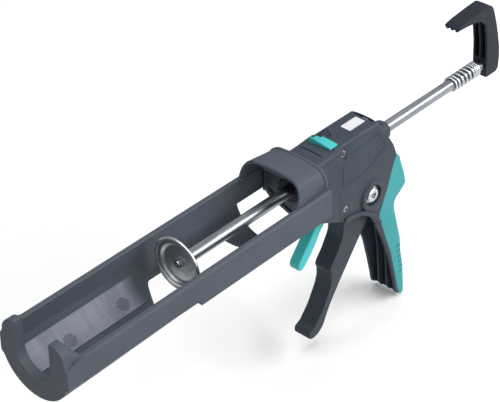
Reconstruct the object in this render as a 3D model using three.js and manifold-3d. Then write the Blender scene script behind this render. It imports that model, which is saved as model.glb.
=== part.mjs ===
// Caulking gun with an open half-shell cradle, friction-plate drive and hexagonal push rod.
// Millimetres, +Z up. The muzzle end points to -X, the pull hook to +X, the left side to -Y.
// Every part is drawn with the rod axis along X at y = z = 0 and the front face of the cradle
// at x = 0. The last lines move the whole group so that its origin is the box centre.
import * as THREE from 'three';
import { mergeVertices } from 'three/addons/utils/BufferGeometryUtils.js';
import Module from 'manifold-3d';

const wasm = await Module();
wasm.setup();

// ---------------------------------------------------------------- driving dimensions
const GAP = 0.3;                                   // clearance between neighbouring pieces
const LENGTH = 514;                                // front face to back of the pull hook
const TOP = 60.4;                                  // top of the hook above the rod axis
const BOTTOM = -168.5;                             // foot of the handle below the rod axis

const ROD = { flats: 7.5, front: 142.4, back: 506, stud: 2.8, studFront: 135.8 };
const TROUGH = {
  innerHalf: 27.2, outerHalf: 32.6, innerR: 26.6, outerR: 31, rim: 10, rimEdge: 8.9,
  wallFoot: -13.5, floorEnd: 126, frontWall: 7.7,
};
const POST = { slotHalf: 16.3, half: 29.8, top: 21.5, corner: 11, foot: -10, gussetBack: 16.5 };
const HOOD = {
  front: 232, lean: 6.2, backWall: 259, back: 267,
  outerHalf: 28.8, outerTop: 27.4, corner: 12, crown: 0.9, skin: 2, rodHole: 8.4,
};
const OPENINGS = { front: 117, bend: 131, bridge: 203, rear: 226, frontHalf: 21, rearHalf: 25.2, depth: 45 };
const DISC = { front: 135.3, dish: 138.8, back: 140.8, radius: 21.8, nut: 4.6, washer: 7 };
const BODY = { front: 267.3, top: 23.5, half: 16, topHalf: 12.5, wall: 2.6, handleHalf: 13.5 };
const COVER_SKIN = 1.4;
const AXLE = { x: 336.5, z: -38, shank: 3.8, bush: 5.5, post: 9, boss: 13.5, bossFace: -18.5, recess: 8.6 };
const BOLT = { flange: 7.4, dome: 5.4, seat: -15.3, rim: -16.6, face: -17.8, end: 17.4 };
const BOLT_NUT = { radius: 7.2, face: 18.2 };
const SCREWS = [{ name: 'upper', x: 301, z: 17, face: 14.9 }, { name: 'lower', x: 305, z: -35, face: 16.1 }];
const SCREW = { shank: 1.7, head: 3, boss: 4.2, nut: 3 };
const LEVER = { x: 292, z: -32, half: 4.6, pin: 2, pinHalf: 13.2, post: 4.2 };
const TRIGGER = { half: 8, thrustX: 343, thrustZ: -16.6, thrustR: 4, pinR: 2.4, forkHalf: 4.5 };
const PLATE = { thick: 2.4, back: 338.7 };
const DRIVE_SPRING = { radius: 7.4, wire: 1.6, front: 304.8, turns: 6.5 };
const BRAKE = { x: 281, z: 15, tilt: 6, thick: 2.4, foot: -17 };
const BRAKE_SPRING = { radius: 7.2, wire: 1.4, front: 270.4, back: 277.6, turns: 3 };
const BUFFER_SPRING = { radius: 5.8, wire: 1.8, front: 455, back: 495, turns: 8.5 };
const HOOK = { front: 498, half: 7.2, tipX: 451.6, foot: -8 };
const HOOK_PIN = { x: 502, radius: 1.4, from: -4.6, to: 6.8 };
const COLLAR = { radius: 8.2, bush: 6.2, back: 369.4 };
const SLIDER = { front: 290.4, back: 299.8, half: 10.4, blockHalf: 4.6, floor: 21.6 };
const LABEL = { front: 320.8, back: 339.2, half: 4.7 };

// ---------------------------------------------------------------- colours
const finish = (color, roughness, metalness) => (
  new THREE.MeshStandardMaterial({ color, roughness, metalness }));
const GREY = finish(0x4d525b, 0.55, 0);
const TEAL = finish(0x4fbdba, 0.5, 0);
const ZINC = finish(0xb9bec2, 0.35, 1);
const STEEL = finish(0x8a8f94, 0.4, 1);
const WHITE = finish(0xf0f0ee, 0.7, 0);

// ---------------------------------------------------------------- solid helpers
const toSolid = (geometry) => {
  const bare = geometry.index ? geometry.toNonIndexed() : geometry.clone();
  bare.deleteAttribute('normal');
  bare.deleteAttribute('uv');
  const merged = mergeVertices(bare, 1e-4);
  const mesh = new wasm.Mesh({
    numProp: 3,
    vertProperties: Float32Array.from(merged.attributes.position.array),
    triVerts: Uint32Array.from(merged.index.array),
  });
  return new wasm.Manifold(mesh);
};

const toGeometry = (solid) => {
  const mesh = solid.getMesh();
  const geometry = new THREE.BufferGeometry();
  geometry.setAttribute('position', new THREE.BufferAttribute(mesh.vertProperties, 3));
  geometry.setIndex(new THREE.BufferAttribute(mesh.triVerts, 1));
  return geometry;
};

const union = (...solids) => solids.reduce((a, b) => a.add(b));
const cut = (solid, ...tools) => tools.reduce((a, b) => a.subtract(b), solid);

const shapeOf = (points) => new THREE.Shape(points.map(([a, b]) => new THREE.Vector2(a, b)));

// A side view outline, points (x, z), made solid from y = low to y = high.
const sidePlate = (outline, low, high) => {
  const shape = outline instanceof THREE.Shape ? outline : shapeOf(outline);
  const settings = { depth: high - low, bevelEnabled: false, curveSegments: 6 };
  const geometry = new THREE.ExtrudeGeometry(shape, settings);
  geometry.rotateX(Math.PI / 2);
  geometry.translate(0, high, 0);
  return toSolid(geometry);
};

// A cross-section, points (y, z), made solid from x = low to x = high.
const crossPlate = (outline, low, high, segments = 12) => {
  const shape = outline instanceof THREE.Shape ? outline : shapeOf(outline);
  const settings = { depth: high - low, bevelEnabled: false, curveSegments: segments };
  const geometry = new THREE.ExtrudeGeometry(shape, settings);
  const axes = new THREE.Matrix4().makeBasis(
    new THREE.Vector3(0, 1, 0), new THREE.Vector3(0, 0, 1), new THREE.Vector3(1, 0, 0));
  geometry.applyMatrix4(axes);
  geometry.translate(low, 0, 0);
  return toSolid(geometry);
};

// An outline seen from above, points (x, y), made solid from z = low to z = high.
const flatPlate = (shape, low, high) => {
  const settings = { depth: high - low, bevelEnabled: false, curveSegments: 5 };
  const geometry = new THREE.ExtrudeGeometry(shape, settings);
  geometry.translate(0, 0, low);
  return toSolid(geometry);
};

const block = (x0, x1, y0, y1, z0, z1) => {
  const geometry = new THREE.BoxGeometry(x1 - x0, y1 - y0, z1 - z0);
  geometry.translate((x0 + x1) / 2, (y0 + y1) / 2, (z0 + z1) / 2);
  return toSolid(geometry);
};

// A round bar along X, or with sides = 6 a hexagonal one with a corner at the top.
const barX = (radius, x0, x1, sides = 24, y = 0, z = 0) => {
  const geometry = new THREE.CylinderGeometry(radius, radius, x1 - x0, sides);
  geometry.rotateZ(-Math.PI / 2);
  geometry.translate((x0 + x1) / 2, y, z);
  return toSolid(geometry);
};

const barY = (radius, y0, y1, x, z, sides = 20) => {
  const geometry = new THREE.CylinderGeometry(radius, radius, y1 - y0, sides);
  geometry.translate(x, (y0 + y1) / 2, z);
  return toSolid(geometry);
};

const hexRadius = (flats) => flats / Math.sqrt(3);

// A turned piece about the X axis: points (x, radius) from one end on the axis to the other.
const turned = (points, sides = 32) => {
  const geometry = new THREE.LatheGeometry(points.map(([x, r]) => new THREE.Vector2(r, x)), sides);
  geometry.rotateZ(-Math.PI / 2);
  return toSolid(geometry);
};

// Moves each edge of a closed outline inwards by its own distance; outlines run anticlockwise.
const inset = (points, distances) => {
  const count = points.length;
  const lines = points.map(([ax, ay], i) => {
    const [bx, by] = points[(i + 1) % count];
    const length = Math.hypot(bx - ax, by - ay);
    const nx = -(by - ay) / length;
    const ny = (bx - ax) / length;
    return { nx, ny, c: nx * ax + ny * ay + distances[i] };
  });
  return lines.map((line, i) => {
    const before = lines[(i + count - 1) % count];
    const d = before.nx * line.ny - before.ny * line.nx;
    return [(before.c * line.ny - line.c * before.ny) / d, (before.nx * line.c - line.nx * before.c) / d];
  });
};

// A coil spring round the X axis, its wire a closed tube along a helix.
class Helix extends THREE.Curve {
  constructor(radius, x0, x1, turns) {
    super();
    Object.assign(this, { radius, x0, x1, turns });
  }

  getPoint(t, target = new THREE.Vector3()) {
    const angle = 2 * Math.PI * this.turns * t;
    const x = this.x0 + (this.x1 - this.x0) * t;
    return target.set(x, this.radius * Math.cos(angle), this.radius * Math.sin(angle));
  }
}

const coil = ({ radius, wire, front, back, turns }, stepsPerTurn, sides) => {
  const section = new THREE.Shape();
  for (let i = 0; i < sides; i += 1) {
    const angle = (2 * Math.PI * i) / sides;
    const [a, b] = [(wire / 2) * Math.cos(angle), (wire / 2) * Math.sin(angle)];
    if (i === 0) section.moveTo(a, b);
    else section.lineTo(a, b);
  }
  section.closePath();
  const extrudePath = new Helix(radius, front + wire / 2, back - wire / 2, turns);
  const steps = Math.round(turns * stepsPerTurn);
  return toSolid(new THREE.ExtrudeGeometry(section, { steps, extrudePath, bevelEnabled: false }));
};

const group = new THREE.Group();
const addPart = (name, solid, material) => {
  const mesh = new THREE.Mesh(toGeometry(solid), material);
  mesh.name = name;
  group.add(mesh);
  return mesh;
};

// ---------------------------------------------------------------- cradle
// Cross-section of a closed trough: straight sides that turn into a half round.
const troughOutline = (half, radius, rim, drop) => {
  const reach = Math.asin(drop / radius) + 0.12;
  const shape = new THREE.Shape();
  shape.moveTo(half, rim);
  shape.lineTo(-half, rim);
  shape.lineTo(-half, -drop);
  shape.absarc(0, 0, radius, Math.PI + reach, 2 * Math.PI - reach);
  shape.lineTo(half, -drop);
  shape.closePath();
  return shape;
};

// Front half: closed round bottom. Back half: side walls with a thinner floor between them.
const makeTrough = () => {
  const { innerHalf, outerHalf, innerR, outerR, rim, wallFoot, floorEnd, frontWall } = TROUGH;
  const sideDrop = 9;
  const floorDrop = 14;
  const front = crossPlate(troughOutline(outerHalf, outerR, rim, sideDrop), 0, floorEnd, 16);
  const wallFace = [[outerHalf, wallFoot], [outerHalf, rim], [-outerHalf, rim], [-outerHalf, wallFoot]];
  const walls = crossPlate(wallFace, floorEnd - 1, HOOD.back);
  const floorFace = troughOutline(outerR - 1, outerR - 1.5, wallFoot + 3, floorDrop);
  const floor = crossPlate(floorFace, floorEnd - 1, HOOD.back, 16);
  const insideFace = troughOutline(innerHalf, innerR, rim + 60, sideDrop);
  const inside = crossPlate(insideFace, frontWall, HOOD.backWall, 16);
  return cut(union(front, walls, floor), inside);
};

// Cutters for the bevels along the outer edge of both rims.
const rimBevels = () => {
  const { outerHalf, rim, rimEdge } = TROUGH;
  return [1, -1].map((side) => {
    const y0 = side * (outerHalf - 1);
    const y1 = side * (outerHalf + 1);
    const corner = [[y0, rim + 0.01], [y1, rim + 0.01], [y1, 2 * rimEdge - rim]];
    return crossPlate(side > 0 ? corner.reverse() : corner, -1, HOOD.back + 1);
  });
};

// Front wall posts on both sides of the nozzle slot, rounded on their outer corners. A gusset
// stiffens each one: it runs back and down to the side wall, outside the cartridge's space.
const makePosts = () => {
  const { slotHalf, half, top, corner, foot, gussetBack } = POST;
  const { innerHalf, innerR, rim, frontWall } = TROUGH;
  const face = new THREE.Shape();
  face.moveTo(half, foot);
  face.lineTo(half, top - corner);
  face.absarc(half - corner, top - corner, corner, 0, Math.PI / 2);
  face.lineTo(-(half - corner), top);
  face.absarc(-(half - corner), top - corner, corner, Math.PI / 2, Math.PI);
  face.lineTo(-half, foot);
  face.closePath();
  const plan = shapeOf([
    [0, -half - 1], [gussetBack, -half - 1], [gussetBack, -innerHalf], [frontWall, -slotHalf],
    [frontWall, slotHalf], [gussetBack, innerHalf], [gussetBack, half + 1], [0, half + 1],
  ]);
  const posts = crossPlate(face, 0, gussetBack + 1, 8).intersect(flatPlate(plan, -30, 30));
  const cartridge = barX(innerR, frontWall, gussetBack + 2, 40);
  const above = [[40, top + 2], [40, rim], [gussetBack, rim], [frontWall, top], [frontWall, top + 2]];
  return cut(posts, cartridge, sidePlate(above, -40, 40));
};

const nozzleSlot = () => {
  const { slotHalf } = POST;
  const slot = new THREE.Shape();
  slot.moveTo(slotHalf, 40);
  slot.lineTo(-slotHalf, 40);
  slot.lineTo(-slotHalf, 0);
  slot.absarc(0, 0, slotHalf, Math.PI, 2 * Math.PI);
  slot.closePath();
  return crossPlate(slot, -1, TROUGH.frontWall + 0.6, 16);
};

// Hood over the back end: a crowned arch with a leaning front edge and a back wall.
const hoodArch = (half, top, radius, foot) => {
  const shape = new THREE.Shape();
  shape.moveTo(half, foot);
  shape.lineTo(half, top - radius);
  shape.absarc(half - radius, top - radius, radius, 0, Math.PI / 2);
  shape.quadraticCurveTo(0, top + 2 * HOOD.crown, -(half - radius), top);
  shape.absarc(-(half - radius), top - radius, radius, Math.PI / 2, Math.PI);
  shape.lineTo(-half, foot);
  shape.closePath();
  return shape;
};

const makeHood = () => {
  const { front, lean, backWall, back, outerHalf, outerTop, corner, skin } = HOOD;
  const { rim } = TROUGH;
  const solid = crossPlate(hoodArch(outerHalf, outerTop, corner, 0), front, back, 6);
  const hollow = hoodArch(outerHalf - skin - 0.4, outerTop - skin, corner - skin, -40);
  const above = outerTop + 3;
  const leanTop = front + (lean * (above - rim)) / (outerTop - rim);
  const leaning = [[front - 2, above], [front - 2, rim], [front, rim], [leanTop, above]];
  return cut(solid, crossPlate(hollow, front - 1, backWall, 6), sidePlate(leaning, -40, 40));
};

// Floor openings: a long one with a curved front edge, then a bridge, then a short one.
const floorOpenings = () => {
  const { front, bend, bridge, rear, frontHalf, rearHalf, depth } = OPENINGS;
  const long = new THREE.Shape();
  long.moveTo(bridge, -frontHalf);
  long.lineTo(bridge, frontHalf);
  long.lineTo(bend, frontHalf);
  long.quadraticCurveTo(front, frontHalf - 5, front, 0);
  long.quadraticCurveTo(front, 5 - frontHalf, bend, -frontHalf);
  long.closePath();
  return [flatPlate(long, -depth, -5), block(rear, HOOD.backWall, -rearHalf, rearHalf, -depth, -5)];
};

const makeCradle = () => {
  const shell = union(cut(makeTrough(), ...rimBevels()), makePosts());
  const rodHole = barX(HOOD.rodHole, HOOD.backWall - 1, HOOD.back + 1, 24);
  return cut(union(cut(shell, nozzleSlot()), makeHood()), ...floorOpenings(), rodHole);
};
addPart('cradle', makeCradle(), GREY);

// ---------------------------------------------------------------- body shells
// Side view of the grip body without its soft cover, anticlockwise from the lower front.
// The third number of each point is the wall kept behind the edge that starts there;
// a negative wall leaves that edge open.
const W = BODY.wall;
const bodyOutline = [
  [BODY.front, -28, -4], [294.5, -42, -4], [304, -46.5, -4], [320.6, -50, -4], [331, -55, -4],
  [340.6, -62.2, -4], [348.5, -74, -4], [354.3, -88.5, -4], [363.6, -111, -4], [372, -134, -4],
  [377, -152.7, -4], [380.6, -163, -4], [386.2, -165.8, W], [389.4, -160, W], [386.6, -137.5, W],
  [382.5, -120, W], [380.5, -107, W], [373.2, -84, W], [369.4, -67, W], [371, -59.5, W],
  [380.8, -50, W], [373, -28, W], [366.5, -17.5, W], [361, -1.2, W], [350, 17.5, W],
  [345, BODY.top, W], [BODY.front, BODY.top, W],
];
const outer = bodyOutline.map(([x, z]) => [x, z]);
const cavity = inset(outer, bodyOutline.map((p) => p[2]));

// Front-on envelope of the body: bevelled top, slightly bulged sides, slimmer handle.
const envelope = (less) => [
  [BODY.handleHalf - less, BOTTOM - 2], [BODY.handleHalf - less, -66], [BODY.half - less, -48],
  [BODY.half + 0.4 - less, -10], [BODY.half - less, 12], [BODY.topHalf - 0.4 * less, BODY.top + 0.01],
  [-BODY.topHalf + 0.4 * less, BODY.top + 0.01], [-BODY.half + less, 12], [-BODY.half - 0.4 + less, -10],
  [-BODY.half + less, -48], [-BODY.handleHalf + less, -66], [-BODY.handleHalf + less, BOTTOM - 2],
];
const bodyFrom = BODY.front - 2;
const bodyTo = 400;

// Soft cover: back of the handle and the rear part of both cheeks.
const coverOutline = [
  [350.5, -66], [353, -55.4], [357, -41.2], [363, -24], [369, -17.5], [374.5, -24], [383.6, -46.5],
  [384.4, -51], [379.6, -55.7], [374.6, -60], [373, -66], [377.4, -83.3], [384.6, -107], [386.4, -122],
  [390.4, -137.9], [393.2, -163], [391.6, -167.2], [388, BOTTOM], [384.6, -167.4], [381, -161], [376, -136],
  [369.5, -113.5], [361, -92.7],
].reverse();
const coverSeat = inset(coverOutline, coverOutline.map(() => -GAP));

const makeCover = () => {
  const wide = BODY.half + 2;
  const cover = sidePlate(coverOutline, -wide, wide).intersect(crossPlate(envelope(0), bodyFrom, bodyTo));
  const under = crossPlate(envelope(COVER_SKIN), bodyFrom, bodyTo);
  const core = sidePlate(outer, -wide, wide).intersect(under);
  const clearance = sidePlate(inset(outer, outer.map(() => -GAP)), -wide, wide).intersect(under);
  return cut(cover, clearance, core);
};
addPart('grip_cover', makeCover(), TEAL);

const INNER_HALF = BODY.half - 2;                  // how far ribs and posts reach into the side walls

// Outer skin with its hollow; the cheeks are lowered where the soft cover lies on them.
const makeBodySkin = () => {
  const wide = BODY.half + 3;
  const skin = sidePlate(outer, -wide, wide).intersect(crossPlate(envelope(0), bodyFrom, bodyTo));
  const cheeks = sidePlate(coverSeat, -wide, wide);
  const covered = cut(cheeks, crossPlate(envelope(COVER_SKIN + GAP), bodyFrom - 5, bodyTo + 5));
  const hollow = sidePlate(cavity, -wide, wide).intersect(crossPlate(envelope(3.1), bodyFrom - 5, bodyTo));
  const belowTop = block(0, 500, -wide, wide, -300, BODY.top - W);
  return cut(skin, covered, hollow.intersect(belowTop));
};

// Ribs: spring seat, brake fulcrum, a bridge at the bottom edge and two fins in the handle.
const makeRibs = () => {
  const fin = [
    [379.5, -158], [384, -161], [387, -158], [384.5, -137], [379, -118], [377, -105], [371, -86],
    [363.5, -86], [366, -98], [371.5, -116], [376.5, -137],
  ].reverse();
  const bridge = [[299.4, -44.4], [303.4, -46.3], [303.4, -43.5], [299.4, -41.6]];
  return [
    block(301.6, 304.4, -INNER_HALF, INNER_HALF, -13.5, 9),
    block(284.6, 287, -INNER_HALF, INNER_HALF, 14.5, 22),
    sidePlate(bridge, -INNER_HALF, INNER_HALF),
    ...[-4.4, 4.4].map((y) => sidePlate(fin, y - 0.8, y + 0.8)),
  ];
};

// Posts for the screws, the trigger axle and the lever pin, the outer bosses and the rear collar.
const makeBosses = () => {
  const bosses = SCREWS.map(({ x, z }) => barY(SCREW.boss, -INNER_HALF, INNER_HALF, x, z, 16));
  const bothSides = (radius, near, far, { x, z }, sides) => [
    barY(radius, -far, -near, x, z, sides), barY(radius, near, far, x, z, sides)];
  bosses.push(...bothSides(AXLE.post, TRIGGER.half + GAP, -AXLE.bossFace, AXLE, 24));
  bosses.push(...bothSides(AXLE.boss, INNER_HALF, -AXLE.bossFace, AXLE, 32));
  bosses.push(...bothSides(LEVER.post, LEVER.half + GAP, INNER_HALF, LEVER, 16));
  const collar = barX(COLLAR.radius, 350, COLLAR.back, 24).intersect(block(352, 380, -20, 20, -8, 20));
  return [...bosses, collar];
};

// Holes and seats for the rod, the rear bush, the screws, the axle and the lever pin.
const bodyHoles = () => {
  const tools = [
    barX(6.2, 250, 352, 20),
    barX(COLLAR.bush + GAP, 351, 372, 24),
    barY(AXLE.shank + 0.4, -30, 30, AXLE.x, AXLE.z, 20),
    barY(AXLE.recess, -30, -15, AXLE.x, AXLE.z, 28),
    barY(AXLE.recess, 15, 30, AXLE.x, AXLE.z, 6),
    barY(LEVER.pin + GAP, -LEVER.pinHalf - 0.4, LEVER.pinHalf + 0.4, LEVER.x, LEVER.z, 12),
  ];
  for (const { x, z, face } of SCREWS) {
    tools.push(barY(SCREW.shank + GAP, -30, 30, x, z, 12));
    tools.push(barY(SCREW.head + 0.4, -30, 1.5 - face, x, z, 16));
    tools.push(barY(SCREW.nut + 0.4, face - 2.5, 30, x, z, 6));
  }
  return tools;
};

// Recess of the flow slider, the slot for its tongue, and the clip slot under the top's back edge.
const topRecesses = () => {
  const { front, floor } = SLIDER;
  const recess = [[314, 30], [308, floor], [front - 0.8, floor], [front - 0.8, 30]];
  return [
    sidePlate(recess, -11, 11),
    block(291, 306, -3, 3, 13.5, 25),
    block(342.2, 352, -10, 10, 17.6, 21.6),
  ];
};

const body = cut(union(makeBodySkin(), ...makeRibs(), ...makeBosses()), ...bodyHoles(), ...topRecesses());
const farHalf = block(200, 450, GAP / 2, 60, -200, 60);
const nearHalf = block(200, 450, -60, -GAP / 2, -200, 60);
addPart('shell_left', body.intersect(nearHalf), GREY);
addPart('shell_right', body.intersect(farHalf), GREY);

// ---------------------------------------------------------------- fasteners through the body
for (const { name, x, z, face } of SCREWS) {
  const shank = barY(SCREW.shank, 1 - face, face - 0.4, x, z, 12);
  const slot = block(x - 2, x + 2, -face - 1, 0.5 - face, z - 0.4, z + 0.4);
  const head = cut(barY(SCREW.head, -face, 1.2 - face, x, z, 20), slot);
  addPart(`${name}_screw`, union(shank, head), ZINC);
  const nut = cut(barY(SCREW.nut, face - 2.2, face, x, z, 6), barY(SCREW.shank + GAP, 5, 25, x, z, 12));
  addPart(`${name}_screw_nut`, nut, ZINC);
}

// A bar along Y on the trigger's axle.
const onAxle = (radius, y0, y1, sides) => barY(radius, y0, y1, AXLE.x, AXLE.z, sides);
const bolt = union(
  onAxle(BOLT.flange, BOLT.rim, BOLT.seat, 28),
  onAxle(BOLT.dome, BOLT.face, BOLT.rim + 0.6, 28),
  onAxle(AXLE.shank, BOLT.rim + 0.6, BOLT.end, 20));
addPart('trigger_bolt', cut(bolt, onAxle(2.4, BOLT.face - 1, BOLT.face + 1.6, 6)), ZINC);
const boltNut = cut(onAxle(BOLT_NUT.radius, -BOLT.seat, BOLT_NUT.face, 6), onAxle(AXLE.shank + GAP, 10, 25, 20));
addPart('trigger_bolt_nut', boltNut, ZINC);
const bush = cut(onAxle(AXLE.bush, -TRIGGER.half, TRIGGER.half, 24), onAxle(AXLE.shank + GAP, -20, 20, 20));
addPart('trigger_bush', bush, STEEL);
addPart('lever_pin', barY(LEVER.pin, -LEVER.pinHalf, LEVER.pinHalf, LEVER.x, LEVER.z, 12), STEEL);

// ---------------------------------------------------------------- trigger
const triggerOutline = [
  [314.2, -56], [312.8, -71], [306, -83.5], [299.4, -92.3], [298.2, -95.6], [299.6, -101], [300.6, -107],
  [299, -114], [290.5, -130.6], [281.5, -141.8], [275, -144.6], [274.6, -150.2], [279.6, -152.6],
  [286.5, -150.6], [291.6, -146.5], [299.4, -130], [311.5, -112], [323.2, -95.9], [343, -69.6],
  [349.4, -54], [350.6, -38], [349.5, -22], [347.2, -15.2], [344.6, -13], [341.2, -13], [339.5, -15],
  [339.8, -21.6], [333, -23.8], [325, -31], [321.5, -44],
];
// The fork at its top holds the pin of the thrust roller.
const makeTrigger = () => {
  const { half, thrustX, thrustZ, pinR, forkHalf } = TRIGGER;
  return cut(
    sidePlate(triggerOutline, -half, half),
    onAxle(AXLE.bush + GAP, -20, 20, 24),
    block(328, 352, -forkHalf, forkHalf, -21.5, -5),
    barY(pinR + GAP, -20, 20, thrustX, thrustZ, 16));
};
addPart('trigger', makeTrigger(), GREY);
const makeThrustRoller = () => {
  const { half, thrustX, thrustZ, thrustR, pinR, forkHalf } = TRIGGER;
  const pin = barY(pinR, 0.4 - half, half - 0.4, thrustX, thrustZ, 16);
  return union(pin, barY(thrustR, 0.4 - forkHalf, forkHalf - 0.4, thrustX, thrustZ, 20));
};
addPart('thrust_roller', makeThrustRoller(), STEEL);

// ---------------------------------------------------------------- friction drive
const hexHole = (x0, x1, extra) => barX(hexRadius(ROD.flats) + extra, x0, x1, 6);
const clampPlate = (back) => {
  const outline = [[9, -21], [9, 8], [6, 11.5], [-6, 11.5], [-9, 8], [-9, -21]];
  return cut(crossPlate(outline, back - PLATE.thick, back), hexHole(back - 10, back + 10, 0.6));
};
addPart('clamp_plate_back', clampPlate(PLATE.back), STEEL);
addPart('clamp_plate_front', clampPlate(PLATE.back - PLATE.thick - GAP), STEEL);
const springBack = PLATE.back - 2 * PLATE.thick - 2 * GAP;
addPart('drive_spring', coil({ ...DRIVE_SPRING, back: springBack }, 9, 5), ZINC);

const makeBrakePlate = () => {
  const { x, z, tilt, thick, foot } = BRAKE;
  const outline = [[8, foot - 1], [8, z], [-8, z], [-8, foot - 1]];
  const upright = cut(crossPlate(outline, x - thick / 2, x + thick / 2), hexHole(x - 10, x + 10, 1));
  return upright.translate([-x, 0, -z]).rotate([0, -tilt, 0]).translate([x, 0, z]);
};
addPart('brake_plate', makeBrakePlate(), STEEL);
addPart('brake_spring', coil(BRAKE_SPRING, 9, 5), ZINC);

// Release lever: its upper arm stands behind the foot of the brake plate.
const leverOutline = [
  [276.5, -55.4], [264.6, -70.5], [263.4, -73.5], [264.4, -77.5], [267.6, -79], [271.2, -76.5],
  [278.6, -68], [284, -60.5], [287.4, -54], [292.4, -48.6], [297, -40.5], [298, -32], [295.5, -26.5],
  [292.8, -19], [288.6, -19], [286.4, -26.5], [285.8, -35], [284.5, -44],
];
const leverHole = barY(LEVER.pin + GAP, -20, 20, LEVER.x, LEVER.z, 16);
addPart('release_lever', cut(sidePlate(leverOutline, -LEVER.half, LEVER.half), leverHole), TEAL);

// ---------------------------------------------------------------- flow slider, clip and label
// A thin lip along the front edge and a low block behind its near part.
const makeSlider = () => {
  const { front, back, half, blockHalf, floor } = SLIDER;
  const base = block(front, back, -half, half, floor + GAP, floor + 1.8);
  const lipLine = [[front, 23], [front + 2.2, 23], [front + 1.5, 26.4], [front + 0.2, 27.2]];
  const lip = sidePlate(lipLine, 2 - half, half);
  const low = sidePlate([[front, 23], [back, 23], [back - 0.2, 25.4], [front, 24.6]], -half, blockHalf);
  const tongue = block(293, 298, -2.6, 2.6, 19.2, 23);
  return union(base, lip, low, tongue);
};
addPart('flow_slider', makeSlider(), TEAL);
addPart('rear_clip', block(343, 349.2, -9.4, 9.4, 18.2, 20), ZINC);
const label = block(LABEL.front, LABEL.back, -LABEL.half, LABEL.half, BODY.top + 0.02, BODY.top + 0.3);
addPart('label', label, WHITE);

// ---------------------------------------------------------------- rod and what it carries
const makeRod = () => {
  const bar = barX(hexRadius(ROD.flats), ROD.front, ROD.back, 6);
  const stud = barX(ROD.stud, ROD.studFront, ROD.front + 2, 16);
  return cut(union(bar, stud), barY(HOOK_PIN.radius + GAP, -10, 10, HOOK_PIN.x, 0, 12));
};
addPart('push_rod', makeRod(), ZINC);

// Pressed disc: rolled rim, flat land and a dish that takes the nut.
const makeDisc = () => {
  const { front, dish, back, radius } = DISC;
  const profile = [
    [back, 0], [back, 14.8], [back - 2.4, 17.4], [back - 2, 19.8], [back - 2.6, radius],
    [front + 0.8, radius], [front, 20.6], [front, 17], [dish, 14.8], [dish, 0],
  ];
  return turned(profile.reverse(), 48);
};
const studHole = barX(ROD.stud + GAP, 120, 150, 16);
addPart('pressure_disc', cut(makeDisc(), studHole), ZINC);
addPart('disc_nut', cut(barX(DISC.nut, DISC.dish - 1.9, DISC.dish - GAP, 6), studHole), ZINC);
addPart('disc_washer', cut(barX(DISC.washer, DISC.back + GAP, ROD.front - GAP, 24), studHole), ZINC);

const bushHead = barX(10, HOOD.backWall - 2.6, HOOD.backWall - GAP, 24);
const bushBody = barX(HOOD.rodHole - GAP, HOOD.backWall - 1, HOOD.back, 24);
addPart('front_bush', cut(union(bushBody, bushHead), hexHole(240, 280, 0.5)), GREY);
addPart('rear_bush', cut(barX(COLLAR.bush, 352.3, COLLAR.back + 0.8, 24), hexHole(340, 380, 0.5)), GREY);

addPart('buffer_spring', coil(BUFFER_SPRING, 10, 6), ZINC);

// Pull hook: a grip behind the rod end and an arm that reaches forward above it.
const makeHook = () => {
  const { front, half, tipX, foot } = HOOK;
  const outline = [
    [front, foot], [511.6, foot], [LENGTH, foot + 2.2], [LENGTH, 5], [512.8, 14], [509.8, 26], [506.6, 36.7],
    [501.8, 50], [498.6, 57], [494, TOP], [481, 59.7], [469, 58.4], [459.6, 57.4], [tipX, 55.6],
    [tipX + 0.6, 53.4], [463, 53], [476, 51.4], [484, 49], [489, 45], [490.8, 41], [494.6, 23],
  ];
  let hook = sidePlate(outline, -half, half);

  // sockets for the rod and its cross pin, and two lightening slots in the front face
  const pinHole = barY(HOOK_PIN.radius + GAP, HOOK_PIN.from, 20, HOOK_PIN.x, 0, 12);
  hook = cut(hook, hexHole(480, ROD.back + GAP, GAP), pinHole);
  for (const side of [-1, 1]) {
    const [y0, y1] = side < 0 ? [-4.9, -1] : [1, 4.9];
    hook = cut(hook, block(480, 505, y0, y1, 8.5, 45));
  }
  return hook;
};
addPart('pull_hook', makeHook(), GREY);
addPart('hook_pin', barY(HOOK_PIN.radius, HOOK_PIN.from + GAP, HOOK_PIN.to, HOOK_PIN.x, 0, 12), STEEL);

// ---------------------------------------------------------------- origin at the box centre
group.position.set(-LENGTH / 2, 0, -(TOP + BOTTOM) / 2);
export default group;
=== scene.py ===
"""Looks of the caulking gun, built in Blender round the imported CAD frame.

Every piece is drawn in millimetres in the design's own frame: the rod axis runs along X at
y = z = 0, the front face of the cradle is at x = 0, the left side is -Y and +Z is up.
settle() then moves a piece into the row frame, in metres, and hangs it on its CAD body.
"""
import math

import bmesh
import bpy
from mathutils import Matrix, Vector


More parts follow.
